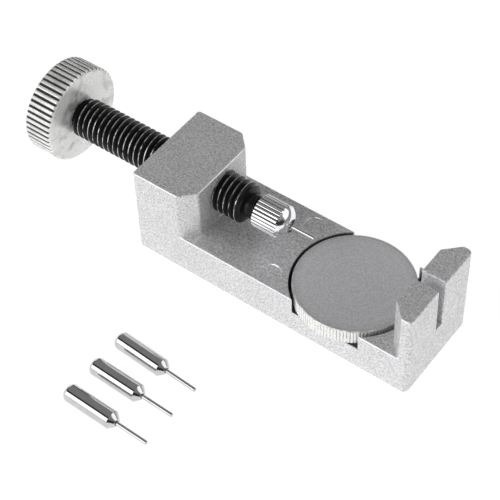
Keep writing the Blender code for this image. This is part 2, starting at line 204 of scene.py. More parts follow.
class ScrewSizes(bpy.types.PropertyGroup):
    """Sizes of the feed screw and its thread."""

    diameter: length("Diameter", "Outside diameter of the thread", 8.0)
    pitch: length("Pitch", "Distance from one crest to the next", 1.25)
    clearance: length("Clearance", "Space between the thread and its tapped hole", 0.15)
    shank: length("Shank", "Diameter of the plain end in the knob", 5.8)
    shank_gap: length("Shank gap", "Plain length between the knob and the thread", 0.3)
    taper: length("Taper", "Length of the tapered end", 0.6)
    taper_end: length("Taper end", "Diameter where the taper ends", 5.12)
    neck: length("Neck", "Diameter of the neck", 4.8)
    neck_pitch: length("Neck pitch", "Pitch of the fine thread on the neck", 0.5)
    neck_depth: length("Neck depth", "Depth of the fine thread on the neck", 0.16)
    socket: length("Socket", "Diameter of the hole for the driving pin", 3.9)
    socket_behind: length("Socket end", "Space behind the driving pin", 0.3)
    neck_shown: length("Neck shown", "Length of neck behind the cap", 2.25)
    neck_plain: length("Neck plain", "Length of neck before its fine thread", 0.7)
    first_crest: length("First crest", "From the knob's face to the first crest", 0.3)


class KnobSizes(bpy.types.PropertyGroup):
    """Sizes of the knob."""

    grooves: count("Grooves", "Number of grooves round the rim", 52)
    groove_depth: length("Groove depth", "Depth of the grooves", 0.42)
    edge: length("Edge", "Chamfer of the rim", 0.42)
    bore: length("Bore", "Diameter of the hole for the shank", 6.2)


class ChuckSizes(bpy.types.PropertyGroup):
    """Sizes of the chuck cap."""

    flutes: count("Flutes", "Number of flutes round the cap", 26)
    flute_depth: length("Flute depth", "Depth of the flutes", 0.3)
    edge: length("Edge", "Chamfer of the rear edge", 0.2)
    nose: length("Nose", "Length of the rounded nose", 1.75)
    nose_face: length("Nose face", "Diameter of the nose's flat end", 2.6)
    neck_bore: length("Neck bore", "Diameter of the hole for the neck", 5.2)
    pin_bore: length("Pin bore", "Diameter of the hole for the pin", 3.9)
    needle_bore: length("Needle bore", "Diameter of the hole for the needle", 1.2)
    neck_bore_depth: length("Neck bore depth", "Depth of the hole for the neck", 3.15)


class PinSizes(bpy.types.PropertyGroup):
    """Sizes of the driving pins."""

    nose: length("Nose", "Length of the conical nose", 1.0)
    nose_end: length("Nose end", "Diameter of the nose's end", 1.7)
    rear_chamfer: length("Rear chamfer", "Length of the chamfer at the rear", 0.6)
    rear_fall: length("Rear fall", "How far the rear chamfer falls", 0.28)
    needle_tip: length("Needle tip", "Chamfer of the needle's end", 0.12)
    needle_set: length("Needle set", "Depth of the needle's hole", 2.5)
    needle_space: length("Needle space", "Space round the needle in its hole", 0.1)
    yaw_1: turn_angle("Turn 1", "How far the first spare pin is turned", -3.0)
    yaw_2: turn_angle("Turn 2", "How far the second spare pin is turned", -1.4)
    yaw_3: turn_angle("Turn 3", "How far the third spare pin is turned", -1.2)


class TableSizes(bpy.types.PropertyGroup):
    """Sizes of the height-adjusting table."""

    teeth: count("Teeth", "Number of fine teeth round the plate", 116)
    tooth_depth: length("Tooth depth", "Depth of the fine teeth", 0.14)
    edge: length("Edge", "Chamfer of the plate", 0.22)
    pip: length("Pip", "Radius of the turning mark at the centre", 0.25)
    spigot_hole: length("Spigot hole", "Diameter of the hole for the stud's spigot", 4.4)
    spigot: length("Spigot", "Diameter of the stud's spigot", 4.0)
    spigot_height: length("Spigot height", "Height of the spigot", 1.9)
    stud_pitch: length("Stud pitch", "Pitch of the stud's thread", 0.8)
    stud_edge: length("Stud edge", "Chamfer of the stud's foot", 0.4)


class Finishes(bpy.types.PropertyGroup):
    """Colours of the metals, and of the painted highlights and shade."""

    cast_dark: colour("Casting, dark grains", "Darker grains of the casting", (0.50, 0.50, 0.51))
    cast_light: colour("Casting, light grains", "Lighter grains of the casting", (0.95, 0.95, 0.96))
    # Painted highlight: the bright colour painted on the casting's edges, foot crease and ejector-mark
    # rims.
    rubbed: colour("Rubbed edges", "Edges of the casting rubbed bright", (0.97, 0.97, 0.98))
    oxide: colour("Black oxide", "Colour of the blackened screw", (0.010, 0.010, 0.011))
    # Bare steel of the worn crests, made light as a painted highlight along them.
    worn: colour("Worn crests", "Steel that shows where the black has worn off", (0.70, 0.70, 0.71))
    knob: colour("Knob", "Machined colour of the knob", (0.94, 0.94, 0.92))
    # Painted shade: a dark colour painted in as shade at the bottom of grooves, flutes and knurl roots
    # and in the table pocket; the table's top is also darkened with it towards the rim.
    painted_shade: colour("Grooves", "Residue in knurled grooves", (0.035, 0.035, 0.037))
    plated: colour("Plated cap", "Bright plating of the cap", (0.88, 0.88, 0.90))
    pin: colour("Pins", "Polished steel of the pins", (0.63, 0.63, 0.64))
    needle: colour("Needles", "Polished steel of the needles", (0.66, 0.66, 0.67))
    table: colour("Table", "Turned steel of the table", (0.92, 0.92, 0.94))
    stud: colour("Stud", "Plain steel of the stud", (0.42, 0.42, 0.43))


class StageSettings(bpy.types.PropertyGroup):
    """The floor, the light and the camera."""

    floor: colour("Floor", "Colour of the floor", (0.30, 0.30, 0.30))
    floor_glow: level("Floor glow", "Light that the floor gives by itself", 0.90)
    overhead: level("Overhead", "Brightness of the dim room", 0.26)
    front: level("Front light", "Brightness of the long soft light in front", 2.0)
    side: level("Side light", "Brightness of the smaller soft light beyond the front end", 1.3)
    lens: bpy.props.FloatProperty(name="Lens", description="Focal length of the camera in mm",
                                  default=111.689, min=1.0, unit="CAMERA")
    place: bpy.props.FloatVectorProperty(name="Place", description="Where the camera stands",
                                         default=(0.107482, -0.150430, 0.225597), size=3,
                                         precision=5, subtype="TRANSLATION")
    azimuth: turn_angle("Azimuth", "Direction of the camera round the object", 38.305)
    elevation: turn_angle("Elevation", "Height of the camera above the horizon", 49.445)
    roll: turn_angle("Roll", "Tilt of the camera about its own line", -2.219)


class PressSettings(bpy.types.PropertyGroup):
    """All the sizes and colours of the pin press."""

    frame: pointer("Frame", "Cast frame", FrameSizes)
    screw: pointer("Screw", "Feed screw", ScrewSizes)
    knob: pointer("Knob", "Knob", KnobSizes)
    chuck: pointer("Chuck", "Chuck cap", ChuckSizes)
    pins: pointer("Pins", "Driving pins", PinSizes)
    table: pointer("Table", "Table", TableSizes)
    looks: pointer("Looks", "Finishes", Finishes)
    stage: pointer("Stage", "Stage", StageSettings)


# Shader building


class Feed:
    """A node's output that takes part in arithmetic, each step of which adds a Math node."""

    def __init__(self, nodes, socket):
        self.nodes = nodes
        self.socket = socket

    def step(self, operation, *values):
        """Add one Math node."""
        return self.nodes.add("ShaderNodeMath", {"operation": operation}, dict(enumerate(values)))

    def __add__(self, other):
        return self.step("ADD", self, other)

    def __radd__(self, other):
        return self.step("ADD", other, self)

    def __sub__(self, other):
        return self.step("SUBTRACT", self, other)

    def __rsub__(self, other):
        return self.step("SUBTRACT", other, self)

    def __mul__(self, other):
        return self.step("MULTIPLY", self, other)

    def __rmul__(self, other):
        return self.step("MULTIPLY", other, self)

    def __pow__(self, other):
        return self.step("POWER", self, other)

    def __abs__(self):
        return self.step("ABSOLUTE", self)

    def most(self, other):
        """Return the larger of two numbers."""
        return self.step("MAXIMUM", self, other)


class Nodes:
    """A node tree that is filled node by node."""

    def __init__(self, tree, coordinates):
        self.tree = tree
        self.place = self.add("ShaderNodeTexCoord", {}, {}, coordinates)

    def add(self, kind, settings, sockets, output=0):
        """Add a node, set it up, feed its sockets and return one output."""
        made = self.tree.nodes.new(kind)
        for name, value in settings.items():
            setattr(made, name, value)
        for name, value in sockets.items():
            self.feed(made.inputs[name], value)
        return Feed(self, made.outputs[output])

    def feed(self, socket, value):
        """Link a feed to a socket, or set the socket's own value."""
        if isinstance(value, Feed):
            self.tree.links.new(value.socket, socket)
        else:
            socket.default_value = value

    def parts(self, vector):
        """Split a vector into its three numbers."""
        split = self.tree.nodes.new("ShaderNodeSeparateXYZ")
        self.feed(split.inputs[0], vector)
        return [Feed(self, socket) for socket in split.outputs]

    def noise(self, scale, detail=2.0, stretch=None):
        """Return cloudy noise of so many features a metre, drawn out along an axis if asked."""
        where = self.place
        if stretch:
            where = self.add("ShaderNodeMapping", {}, {"Vector": where, "Scale": stretch})
        return self.add("ShaderNodeTexNoise", {}, {"Vector": where, "Scale": scale, "Detail": detail})

    def rings(self, away, scale, detail):
        """Return noise that changes only with the distance from an axis."""
        return self.add("ShaderNodeTexNoise", {"noise_dimensions": "1D"},
                        {"W": away, "Scale": scale, "Detail": detail})

    def cells(self, scale):
        """Return a random grey for each small cell."""
        picked = self.add("ShaderNodeTexVoronoi", {}, {"Vector": self.place, "Scale": scale}, "Color")
        return self.parts(picked)[0]

    def ease(self, value, low, high, at_low=0.0, at_high=1.0, course="SMOOTHSTEP"):
        """Pass from one number to another as value goes from low to high."""
        return self.add("ShaderNodeMapRange", {"interpolation_type": course},
                        {"Value": value, "From Min": low, "From Max": high,
                         "To Min": at_low, "To Max": at_high})

    def fade(self, value, low, high):
        """Pass smoothly from one to nothing as value goes from low to high."""
        return self.ease(value, low, high, 1.0, 0.0)

    def band(self, value, rise, fall):
        """Be one between a pair of limits to rise between and a pair to fall between."""
        return self.ease(value, *rise) * self.fade(value, *fall)

    def tint(self, share, first, second):
        """Mix two colours."""
        sockets = {0: share}
        for index, shade in ((6, first), (7, second)):
            sockets[index] = shade if isinstance(shade, Feed) else (*shade, 1.0)
        return self.add("ShaderNodeMix", {"data_type": "RGBA"}, sockets, 2)

    def off_axis(self, height):
        """Return the distance from the feed screw's axis, which lies along X at a height."""
        across, up = self.parts(self.place)[1:]
        return (across * across + (up - height) * (up - height)) ** 0.5


class Finish(Nodes):
    """A procedural surface on object coordinates."""

    def __init__(self, name, metallic=0.0):
        self.surface = bpy.data.materials.new(name)
        self.surface.use_nodes = True
        super().__init__(self.surface.node_tree, "Object")
        self.shader = self.tree.nodes["Principled BSDF"]
        self.set("Metallic", metallic)

    def set(self, name, value):
        """Feed or set one of the shader's sockets."""
        self.feed(self.shader.inputs[name], value)

    def coat(self, shade, roughness, height, depth):
        """Give the metal its colour, roughness and relief, depth high where height is one."""
        self.set("Base Color", shade)
        self.set("Roughness", roughness)
        self.set("Normal", self.add("ShaderNodeBump", {},
                                    {"Strength": 1.0, "Distance": depth, "Height": height}))
        return self.surface


def darker(shade, share):
    """Return a share of a colour."""
    return [share * part for part in shade]


def casting_finish(looks, sizes):
    """Bead-blasted cast alloy: bright and dark grains, painted highlights on its edges, the towers'
    foot and the ejector marks' rims, and painted shade in the table pocket.
    """
    made = Finish("bead_blasted_casting", 0.45)
    grain = made.noise(CAST_GRAINS, 2.5)
    flecks = made.cells(CAST_FLECKS)
    drift = made.noise(CAST_DRIFT)
    tone = 0.6 * made.ease(grain, 0.36, 0.64) + 0.45 * flecks + 0.25 * drift - 0.15
    along, side, up = made.parts(made.place)
    out = abs(side)

    def near(value, place):
        return made.fade(abs(value - place), 0.8 * sizes.edge_round, sizes.edge_round)

    top = near(up, FRAME_HIGH.z)
    foot = near(up, sizes.base_height)
    tower = FRAME_LOW.x + sizes.rear_tower
    throat_start = tower - sizes.rear_chamfer
    throat_end = FRAME_HIGH.x - sizes.front_tower + sizes.front_chamfer
    foot = foot * made.ease(along, throat_start - 0.1 * MM, throat_start)
    foot = foot * made.fade(along, throat_end, throat_end + 0.1 * MM)
    level_edge = top.most(foot)
    # Painted highlight: bright lines where the top and the base's top meet the sides and the tapped
    # tower's inner face, standing in for light caught by rounded edges.
    rubbed = (level_edge * near(out, FRAME_HIGH.y)).most(level_edge * near(along, tower))
    mark_along = along + sizes.mark_x
    mark_out = out - sizes.mark_y
    ring = (mark_along * mark_along + mark_out * mark_out) ** 0.5 - sizes.mark_radius
    # Painted highlight round each ejector mark's rim.
    rubbed = rubbed.most(0.7 * (made.fade(abs(ring), 0.05 * MM, 0.13 * MM) * foot))
    # Painted shade: the table pocket's walls and floor are darkened with the painted-shade colour,
    # standing in for the shade deep in the pocket.
    from_middle = along - (TABLE_X + sizes.table_set_back)
    away = (from_middle * from_middle + side * side) ** 0.5
    wall = PLATE_RADIUS + sizes.pocket_margin
    floor = PLATE_LOW.z - sizes.pocket_under
    pocket = made.band(up, (floor - 0.1 * MM, floor - 0.05 * MM),
                       (sizes.base_height - 0.5 * MM, sizes.base_height - 0.15 * MM))
    pocket = pocket * made.fade(away, wall + 0.01 * MM, wall + 0.03 * MM)
    pocket = pocket * made.fade(out, FRAME_HIGH.y - 0.2 * MM, FRAME_HIGH.y - 0.1 * MM)
    bare = made.tint(tone, looks.cast_dark, looks.cast_light)
    bare = made.tint(0.9 * rubbed, bare, looks.rubbed)
    return made.coat(made.tint(0.9 * pocket, bare, looks.painted_shade), 0.36 + 0.18 * grain - 0.26 * rubbed,
                     (grain + 0.8 * flecks) * (1.0 - 0.8 * rubbed), 0.022 * MM)


def oxide_finish(looks, screw):
    """Black oxide whose crests have worn to bare steel, lightened further as a painted highlight along
    them.
    """
    made = Finish("black_oxide")
    made.set("Specular IOR Level", 0.22)
    crest = screw.diameter / 2
    away = made.off_axis(AXIS_HEIGHT)
    scuffs = made.noise(OXIDE_SCUFFS, 3.0)
    # Worn crests and painted highlight: bare steel, lightened in a thin line along the thread's
    # crests.
    worn = made.ease(away, crest - 0.035 * MM, crest - 0.004 * MM) * made.ease(scuffs, 0.32, 0.62)
    made.set("Metallic", 0.9 * worn)
    return made.coat(made.tint(worn, looks.oxide, looks.worn), 0.24 + 0.14 * scuffs,
                     made.noise(OXIDE_GRAINS), 0.004 * MM)


def knob_finish(looks, knob, screw):
    """Machined bright metal: turned, blotchy faces painted darker near the screw as shade, and painted
    shade deep in its grooves.
    """
    made = Finish("bright_machined", 0.28)
    along = made.parts(made.place)[0]
    away = made.off_axis(AXIS_HEIGHT)
    from_face = along.step("MINIMUM", along - KNOB_LOW.x, KNOB_HIGH.x - along)
    outline = KNOB_RADIUS - knob.edge + made.ease(from_face, 0.0, knob.edge, 0.0, knob.edge, "LINEAR")
    root = KNOB_RADIUS - knob.groove_depth
    # Painted shade at the bottom of the grooves.
    groove_shade = made.ease(outline - away, 0.05 * MM, 0.19 * MM)
    groove_shade = groove_shade * made.ease(away, root - 0.12 * MM, root - 0.06 * MM)
    rings = made.rings(away, KNOB_RINGS, 2.0)
    clouds = made.noise(KNOB_CLOUDS, 4.0)
    blotches = made.ease(clouds, 0.43, 0.60)
    # Painted shade: the random blotches are darkened towards the screw, where it meets the face.
    shade_by_screw = made.ease(away, screw.diameter / 2, 1.1 * screw.diameter, 0.95, 0.32)
    bare = made.tint(blotches * shade_by_screw, looks.knob, darker(looks.knob, 0.35))
    return made.coat(made.tint(0.92 * groove_shade, bare, looks.painted_shade), 0.22 + 0.14 * clouds + 0.2 * groove_shade,
                     rings + 0.6 * made.noise(KNOB_GRAINS), 0.006 * MM)


def plating_finish(looks, chuck):
    """Bright plating over the flutes and the nose, with painted shade at the bottom of the flutes."""
    made = Finish("bright_plate", 1.0)
    nose = CAP_HIGH.x - chuck.nose
    along = made.parts(made.place)[0]
    away = made.off_axis(AXIS_HEIGHT)
    share = made.ease(along, nose, CAP_HIGH.x, course="LINEAR")
    fall = (CAP_RADIUS - chuck.nose_face / 2) * nose_fall(share)
    # Painted shade at the bottom of the flutes.
    groove_shade = made.ease(CAP_RADIUS - fall - away, 0.06 * MM, 0.2 * MM)
    outside = made.ease(away, CAP_RADIUS - 1.2 * chuck.flute_depth,
                        CAP_RADIUS - 1.05 * chuck.flute_depth)
    haze = made.noise(PLATING_HAZE, 3.0)
    return made.coat(made.tint(groove_shade * outside, looks.plated, looks.painted_shade), 0.06 + 0.07 * haze,
                     haze, 0.002 * MM)


def polish_finish(name, shade, lines, depth):
    """Polished steel with fine turning lines round the X axis."""
    made = Finish(name, 1.0)
    along = made.noise(1.0, 3.0, (lines, 60.0, 60.0))
    smear = made.noise(STEEL_SMEARS, 3.0)
    return made.coat(made.tint(made.ease(smear, 0.3, 0.7), darker(shade, 0.9), shade),
                     0.03 + 0.05 * along, along, depth)


def table_finish(looks, table):
    """Faced steel: fine rings on top that darken towards the rim, a brighter knurled rim with painted
    shade at its teeth's roots.
    """
    made = Finish("turned_steel", 0.25)
    along, side = made.parts(made.place)[:2]
    away = ((along - TABLE_X) * (along - TABLE_X) + side * side) ** 0.5
    rim = PLATE_RADIUS
    rings = made.rings(away, TABLE_RINGS, 3.0)
    grain = made.ease(made.noise(TABLE_GRAINS, 2.5), 0.34, 0.66)
    grain = 0.6 * grain + 0.4 * made.cells(TABLE_FLECKS)
    # The top is darker towards the rim.
    edge = made.ease(away, rim - 1.6 * MM, rim - 0.25 * MM)
    skin = made.ease(away, rim - 0.24 * MM, rim - 0.2 * MM)
    # Painted shade at the roots of the rim's teeth, in patches.
    roots = made.fade(away, rim - 0.8 * table.tooth_depth, rim - 0.35 * table.tooth_depth)
    faced = made.tint(0.45 * rings + 0.55 * grain, darker(looks.table, 0.58), looks.table)
    faced = made.tint(0.16 * edge, faced, looks.painted_shade)
    patches = made.ease(made.noise(STEEL_SMEARS), 0.35, 0.6)
    knurl = made.tint(0.5 * roots * patches, looks.knob, looks.painted_shade)
    return made.coat(made.tint(skin, faced, knurl), 0.30 + 0.14 * grain - 0.08 * skin,
                     0.6 * rings + grain, 0.010 * MM)


def stud_finish(looks):
    """Plain turned steel."""
    made = Finish("stud_steel", 1.0)
    grain = made.noise(STUD_GRAINS, 3.0)
    return made.coat(made.tint(grain, darker(looks.stud, 0.7), looks.stud), 0.26 + 0.16 * grain,
                     grain, 0.006 * MM)


# Modelling


def choose(piece):
    """Make one piece the only selected and active one."""
    bpy.ops.object.select_all(action="DESELECT")
    piece.select_set(True)
    bpy.context.view_layer.objects.active = piece


def settle(piece):
    """Put a piece's place, turn and size into its mesh."""
    choose(piece)
    bpy.ops.object.transform_apply(location=True, rotation=True, scale=True)
    return piece


def edit(kind):
    """Enter edit mode with all the vertices, edges or faces selected."""
    bpy.ops.object.mode_set(mode="EDIT")
    bpy.ops.mesh.select_mode(type=kind)
    bpy.ops.mesh.select_all(action="SELECT")


def draw_out(move):
    """Extrude what is selected in edit mode."""
    bpy.ops.mesh.extrude_region_move(TRANSFORM_OT_translate={"value": move})


def begin(kind, name, **settings):
    """Add a primitive with nothing else selected and put its place into its mesh."""
    bpy.ops.object.select_all(action="DESELECT")
    getattr(bpy.ops.mesh, f"primitive_{kind}_add")(**settings)
    piece = bpy.context.object
    piece.name = name
    piece.data.name = name
    return settle(piece)


def pick(piece, kind, wanted):
    """Select the vertices, edges or faces in edit mode that wanted accepts."""
    bpy.ops.mesh.select_mode(type=kind)
    bpy.ops.mesh.select_all(action="DESELECT")
    tool = bmesh.from_edit_mesh(piece.data)
    for item in {"VERT": tool.verts, "EDGE": tool.edges, "FACE": tool.faces}[kind]:
        if wanted(item):
            item.select_set(True)
    tool.select_flush_mode()
    bmesh.update_edit_mesh(piece.data)


def face_out(piece):
    """Merge doubles and turn every face outwards, from edit mode back to object mode."""
    bpy.ops.mesh.select_all(action="SELECT")
    bpy.ops.mesh.remove_doubles(threshold=MERGE)
    bpy.ops.mesh.normals_make_consistent(inside=False)
    bpy.ops.object.mode_set(mode="OBJECT")
    return piece


def modify(piece, kind, **settings):
    """Add a modifier, set it and apply it."""
    choose(piece)
    bpy.ops.object.modifier_add(type=kind)
    step = piece.modifiers[-1]
    for name, value in settings.items():
        setattr(step, name, value)
    bpy.ops.object.modifier_apply(modifier=step.name)


def combine(piece, tool, operation):
    """Cut, join or intersect a piece with a tool, and discard the tool."""
    modify(piece, "BOOLEAN", operation=operation, solver="EXACT", object=tool)
    bpy.data.objects.remove(tool, do_unlink=True)


def turn(name, profile, sides=ROUND_SIDES):
    """Turn a solid round Z from (distance, radius) rings, by extruding and scaling its end face."""
    start, radius = profile[0]
    piece = begin("circle", name, vertices=sides, radius=radius, fill_type="NGON",
                  location=(0, 0, start))
    edit("FACE")
    for (last, before), (now, after) in zip(profile, profile[1:]):
        draw_out((0, 0, now - last))
        grow = after / before
        bpy.ops.transform.resize(value=(grow, grow, 1), center_override=(0, 0, now))
    return face_out(piece)


def cut_out(piece, rings, sides=ROUND_SIDES):
    """Take a turned shape out of a piece."""
    combine(piece, turn("bore_tool", rings, sides), "DIFFERENCE")


def keep_in(piece, rings, sides=ROUND_SIDES):
    """Keep only what lies inside a turned shape."""
    combine(piece, turn("blank_tool", rings, sides), "INTERSECT")


def grooved_bar(name, radius, depth, teeth, tooth, start, end):
    """Draw a bar along Z whose outline repeats one tooth, given as shares of the groove depth."""
    piece = begin("circle", name, vertices=teeth * len(tooth), radius=radius, fill_type="NGON",
                  location=(0, 0, start))
    bpy.ops.object.mode_set(mode="EDIT")
    outline = bmesh.from_edit_mesh(piece.data).verts
    ranked = sorted(outline, key=lambda vert: math.atan2(vert.co.y, vert.co.x))
    order = {vert.index: rank % len(tooth) for rank, vert in enumerate(ranked)}
    for point, share in enumerate(tooth):
        if share:
            pick(piece, "VERT", lambda vert, point=point: order[vert.index] == point)
            grow = (radius - share * depth) / radius
            bpy.ops.transform.resize(value=(grow, grow, 1), center_override=(0, 0, start))
    bpy.ops.mesh.select_mode(type="FACE")
    bpy.ops.mesh.select_all(action="SELECT")
    draw_out((0, 0, end - start))
    return face_out(piece)


def wound_rod(name, crest, depth, pitch, origin, start, end):
    """Wind a right-handed thread up Z between two places, a crest passing +Y at origin."""
    below = math.ceil((origin - start) / pitch) + 1
    turns = below + math.ceil((end - origin) / pitch) + 1
    root = crest - depth
    piece = begin("plane", name, size=pitch)
    edit("VERT")
    bpy.ops.mesh.merge(type="CENTER")
    points = [Vector((0, root + share * depth, origin - (below - along) * pitch))
              for along, share in THREAD_OUTLINE]
    bpy.ops.transform.translate(value=points[0])
    for last, now in zip(points, points[1:]):
        draw_out(now - last)
    bpy.ops.object.mode_set(mode="OBJECT")
    modify(piece, "SCREW", axis="Z", angle=math.tau, screw_offset=pitch, iterations=turns,
           steps=THREAD_STEPS, render_steps=THREAD_STEPS)
    bpy.ops.object.mode_set(mode="EDIT")
    for place, behind in ((start, True), (end, False)):
        bpy.ops.mesh.select_all(action="SELECT")
        bpy.ops.mesh.remove_doubles(threshold=MERGE)
        bpy.ops.mesh.bisect(plane_co=(0, 0, place), plane_no=(0, 0, 1), use_fill=True,
                            clear_inner=behind, clear_outer=not behind, threshold=MERGE)
    return face_out(piece)


def lay_along_x(piece):
    """Turn a piece made up Z so that it lies on the feed screw's axis."""
    piece.rotation_euler = (0, math.radians(90), 0)
    piece.location = (0, 0, AXIS_HEIGHT)
    return settle(piece)


def stand_on_table(piece):
    """Move a piece made up Z to the table's axis."""
    piece.location = (TABLE_X, 0, 0)
    return settle(piece)


def nose_fall(share):
    """Return how far the cap's nose has fallen, as a share of its fall, a share along it."""
    return 0.62 * share + 0.38 * share * share * share


def hand_over(piece, node, body, surface, flatten=True, smooth=SMOOTH_BELOW):
    """Shade and finish a piece, and let it stand for its CAD node."""
    choose(piece)
    bpy.ops.object.shade_smooth_by_angle(angle=smooth)
    if flatten:
        modify(piece, "WEIGHTED_NORMAL", mode="FACE_AREA", weight=100, keep_sharp=True)
    piece.data.materials.clear()
    piece.data.materials.append(surface)
    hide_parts(node)
    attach(piece, body)


def flare(piece, normal, radius, half_width, past):
    """Widen a slot cutter's end in a quarter round along normal, then carry it on past the metal."""
    width = half_width
    gone = 0.0
    pick(piece, "FACE", lambda face: face.normal.dot(normal) > FACING)
    for step in range(1, EDGE_STEPS + 1):
        angle = math.pi / 2 * step / EDGE_STEPS
        along = radius * math.sin(angle)
        out = radius * (1 - math.cos(angle))
        draw_out(normal * (along - gone))
        grow = (half_width + out) / width
        bpy.ops.transform.resize(value=(1, grow, 1), center_override=(0, 0, 0))
        width = half_width + out
        gone = along
    draw_out(normal * past)


def make_throat_tool(sizes):
    """Model the space between the towers, flared at the chamfered corners."""
    rear = FRAME_LOW.x + sizes.rear_tower
    front = FRAME_HIGH.x - sizes.front_tower
    half = FRAME_HIGH.y
    top = FRAME_HIGH.z + CUT_PAST
    mid_z = (sizes.base_height + top) / 2
    narrow = half - max(sizes.rear_chamfer, sizes.front_chamfer)
    tool = begin("cube", "throat_tool", size=1.0, location=((rear + front) / 2, 0, mid_z),
                 scale=(front - rear, 2 * narrow, top - sizes.base_height))
    bpy.ops.object.mode_set(mode="EDIT")
    reach = half + CUT_PAST - narrow
    for side in (-1, 1):
        pick(tool, "FACE", lambda face, side=side: face.normal.y * side > FACING)
        draw_out((0, side * reach, 0))
        for end, chamfer in ((-1, sizes.rear_chamfer), (1, sizes.front_chamfer)):
            edge = rear if end < 0 else front
            pick(tool, "VERT", lambda vert, end=end, side=side, edge=edge:
                 vert.co.y * side > half and abs(vert.co.x - edge) < MERGE)
            outward = chamfer + CUT_PAST
            bpy.ops.transform.translate(value=(end * outward, 0, 0))
    for end, chamfer, edge in ((-1, sizes.rear_chamfer, rear), (1, sizes.front_chamfer, front)):
        for side in (-1, 1):
            pick(tool, "VERT", lambda vert, side=side, edge=edge:
                 abs(vert.co.x - edge) < MERGE and vert.co.y * side > 0)
            bpy.ops.transform.translate(value=(0, side * (half - chamfer - narrow), 0))
    return face_out(tool)


def make_slot_tool(sizes):
    """Model the tapered pin slot, with rounded edges at its top, front and back."""
    front = FRAME_HIGH.x
    back = front - sizes.front_tower
    floor = sizes.base_height + sizes.slot_step
    edge = sizes.slot_edge
    top = FRAME_HIGH.z - edge
    tool = begin("cube", "slot_tool", size=1.0,
                 location=((front + back) / 2, 0, (floor + top) / 2),
                 scale=(front - back - 2 * edge, sizes.slot_top, top - floor))
    bpy.ops.object.mode_set(mode="EDIT")
    pick(tool, "FACE", lambda face: face.normal.z < -FACING)
    bpy.ops.transform.resize(value=(1, sizes.slot_floor / sizes.slot_top, 1),
                             center_override=(0, 0, floor))
    for normal in (Vector((0, 0, 1)), Vector((1, 0, 0)), Vector((-1, 0, 0))):
        flare(tool, normal, edge, sizes.slot_top / 2, CUT_PAST / 4)
    return face_out(tool)


def make_mark_tool(sizes, side):
    """Model the cutter of one round ejector mark."""
    top = sizes.base_height
    wide = sizes.mark_radius
    rings = [(top - sizes.mark_depth, wide - 0.08 * MM), (top - 0.4 * sizes.mark_depth, wide),
             (top, wide + 0.05 * MM), (top + sizes.mark_depth, wide + 0.2 * MM)]
    tool = turn("mark_tool", rings, MARK_SIDES)
    tool.location = (-sizes.mark_x, side * sizes.mark_y, 0)
    return settle(tool)


def make_pocket_tool(sizes):
    """Model the table's pocket and the hole of its stud as one stepped cutter."""
    pocket = PLATE_RADIUS + sizes.pocket_margin
    floor = PLATE_LOW.z - sizes.pocket_under
    hole = STUD_RADIUS + sizes.stud_space
    top = sizes.base_height
    rim = sizes.pocket_rim
    rings = [(-CUT_PAST, hole), (floor, hole), (floor, pocket - 0.15 * MM),
             (floor + 0.15 * MM, pocket), (top - rim, pocket), (top - 0.3 * rim, pocket + 0.3 * rim),
             (top, pocket + rim), (FRAME_HIGH.z + CUT_PAST, pocket + rim)]
    tool = turn("pocket_tool", rings, POCKET_SIDES)
    choose(tool)
    bpy.ops.object.mode_set(mode="EDIT")
    pick(tool, "VERT", lambda vert: vert.co.xy.length < (hole + pocket) / 2)
    bpy.ops.transform.translate(value=(-sizes.table_set_back, 0, 0))
    bpy.ops.object.mode_set(mode="OBJECT")
    tool.location = (TABLE_X + sizes.table_set_back, 0, 0)
    return settle(tool)


class PINPRESS_OT_frame(bpy.types.Operator):
    """Cast the frame: block, throat, rounded edges, slot, ejector marks, pocket and tapped hole"""

    bl_idname = "pin_press.frame"
    bl_label = "Cast frame"

    def execute(self, context):
        settings = context.scene.pin_press
        sizes = settings.frame
        screw = settings.screw
        middle = (FRAME_LOW + FRAME_HIGH) / 2
        piece = begin("cube", "cast_frame", size=1.0, location=middle, scale=FRAME_HIGH - FRAME_LOW)
        bpy.ops.object.mode_set(mode="EDIT")
        for side, radius in ((-1, sizes.rear_corner), (1, sizes.front_corner)):
            pick(piece, "EDGE", lambda edge, side=side:
                 abs(edge.verts[0].co.z - edge.verts[1].co.z) > sizes.base_height
                 and edge.verts[0].co.x * side > abs(FRAME_HIGH.x) / 2)
            bpy.ops.mesh.bevel(offset=radius, segments=5, affect="EDGES")
        face_out(piece)
        combine(piece, make_throat_tool(sizes), "DIFFERENCE")
        modify(piece, "BEVEL", width=sizes.edge_round, segments=3, limit_method="ANGLE",
               angle_limit=SHARP_ABOVE, use_clamp_overlap=False)
        combine(piece, make_slot_tool(sizes), "DIFFERENCE")
        for side in (-1, 1):
            combine(piece, make_mark_tool(sizes, side), "DIFFERENCE")
        combine(piece, make_pocket_tool(sizes), "DIFFERENCE")
        depth = THREAD_DEPTH * screw.pitch
        crest = screw.diameter / 2 + screw.clearance
        tap = wound_rod("tap_tool", crest, depth, screw.pitch, KNOB_HIGH.x + screw.first_crest,
                        FRAME_LOW.x - CUT_PAST, FRAME_LOW.x + sizes.rear_tower + CUT_PAST)
        combine(piece, lay_along_x(tap), "DIFFERENCE")
        hand_over(piece, "frame", "frame", casting_finish(settings.looks, sizes))
        return {"FINISHED"}


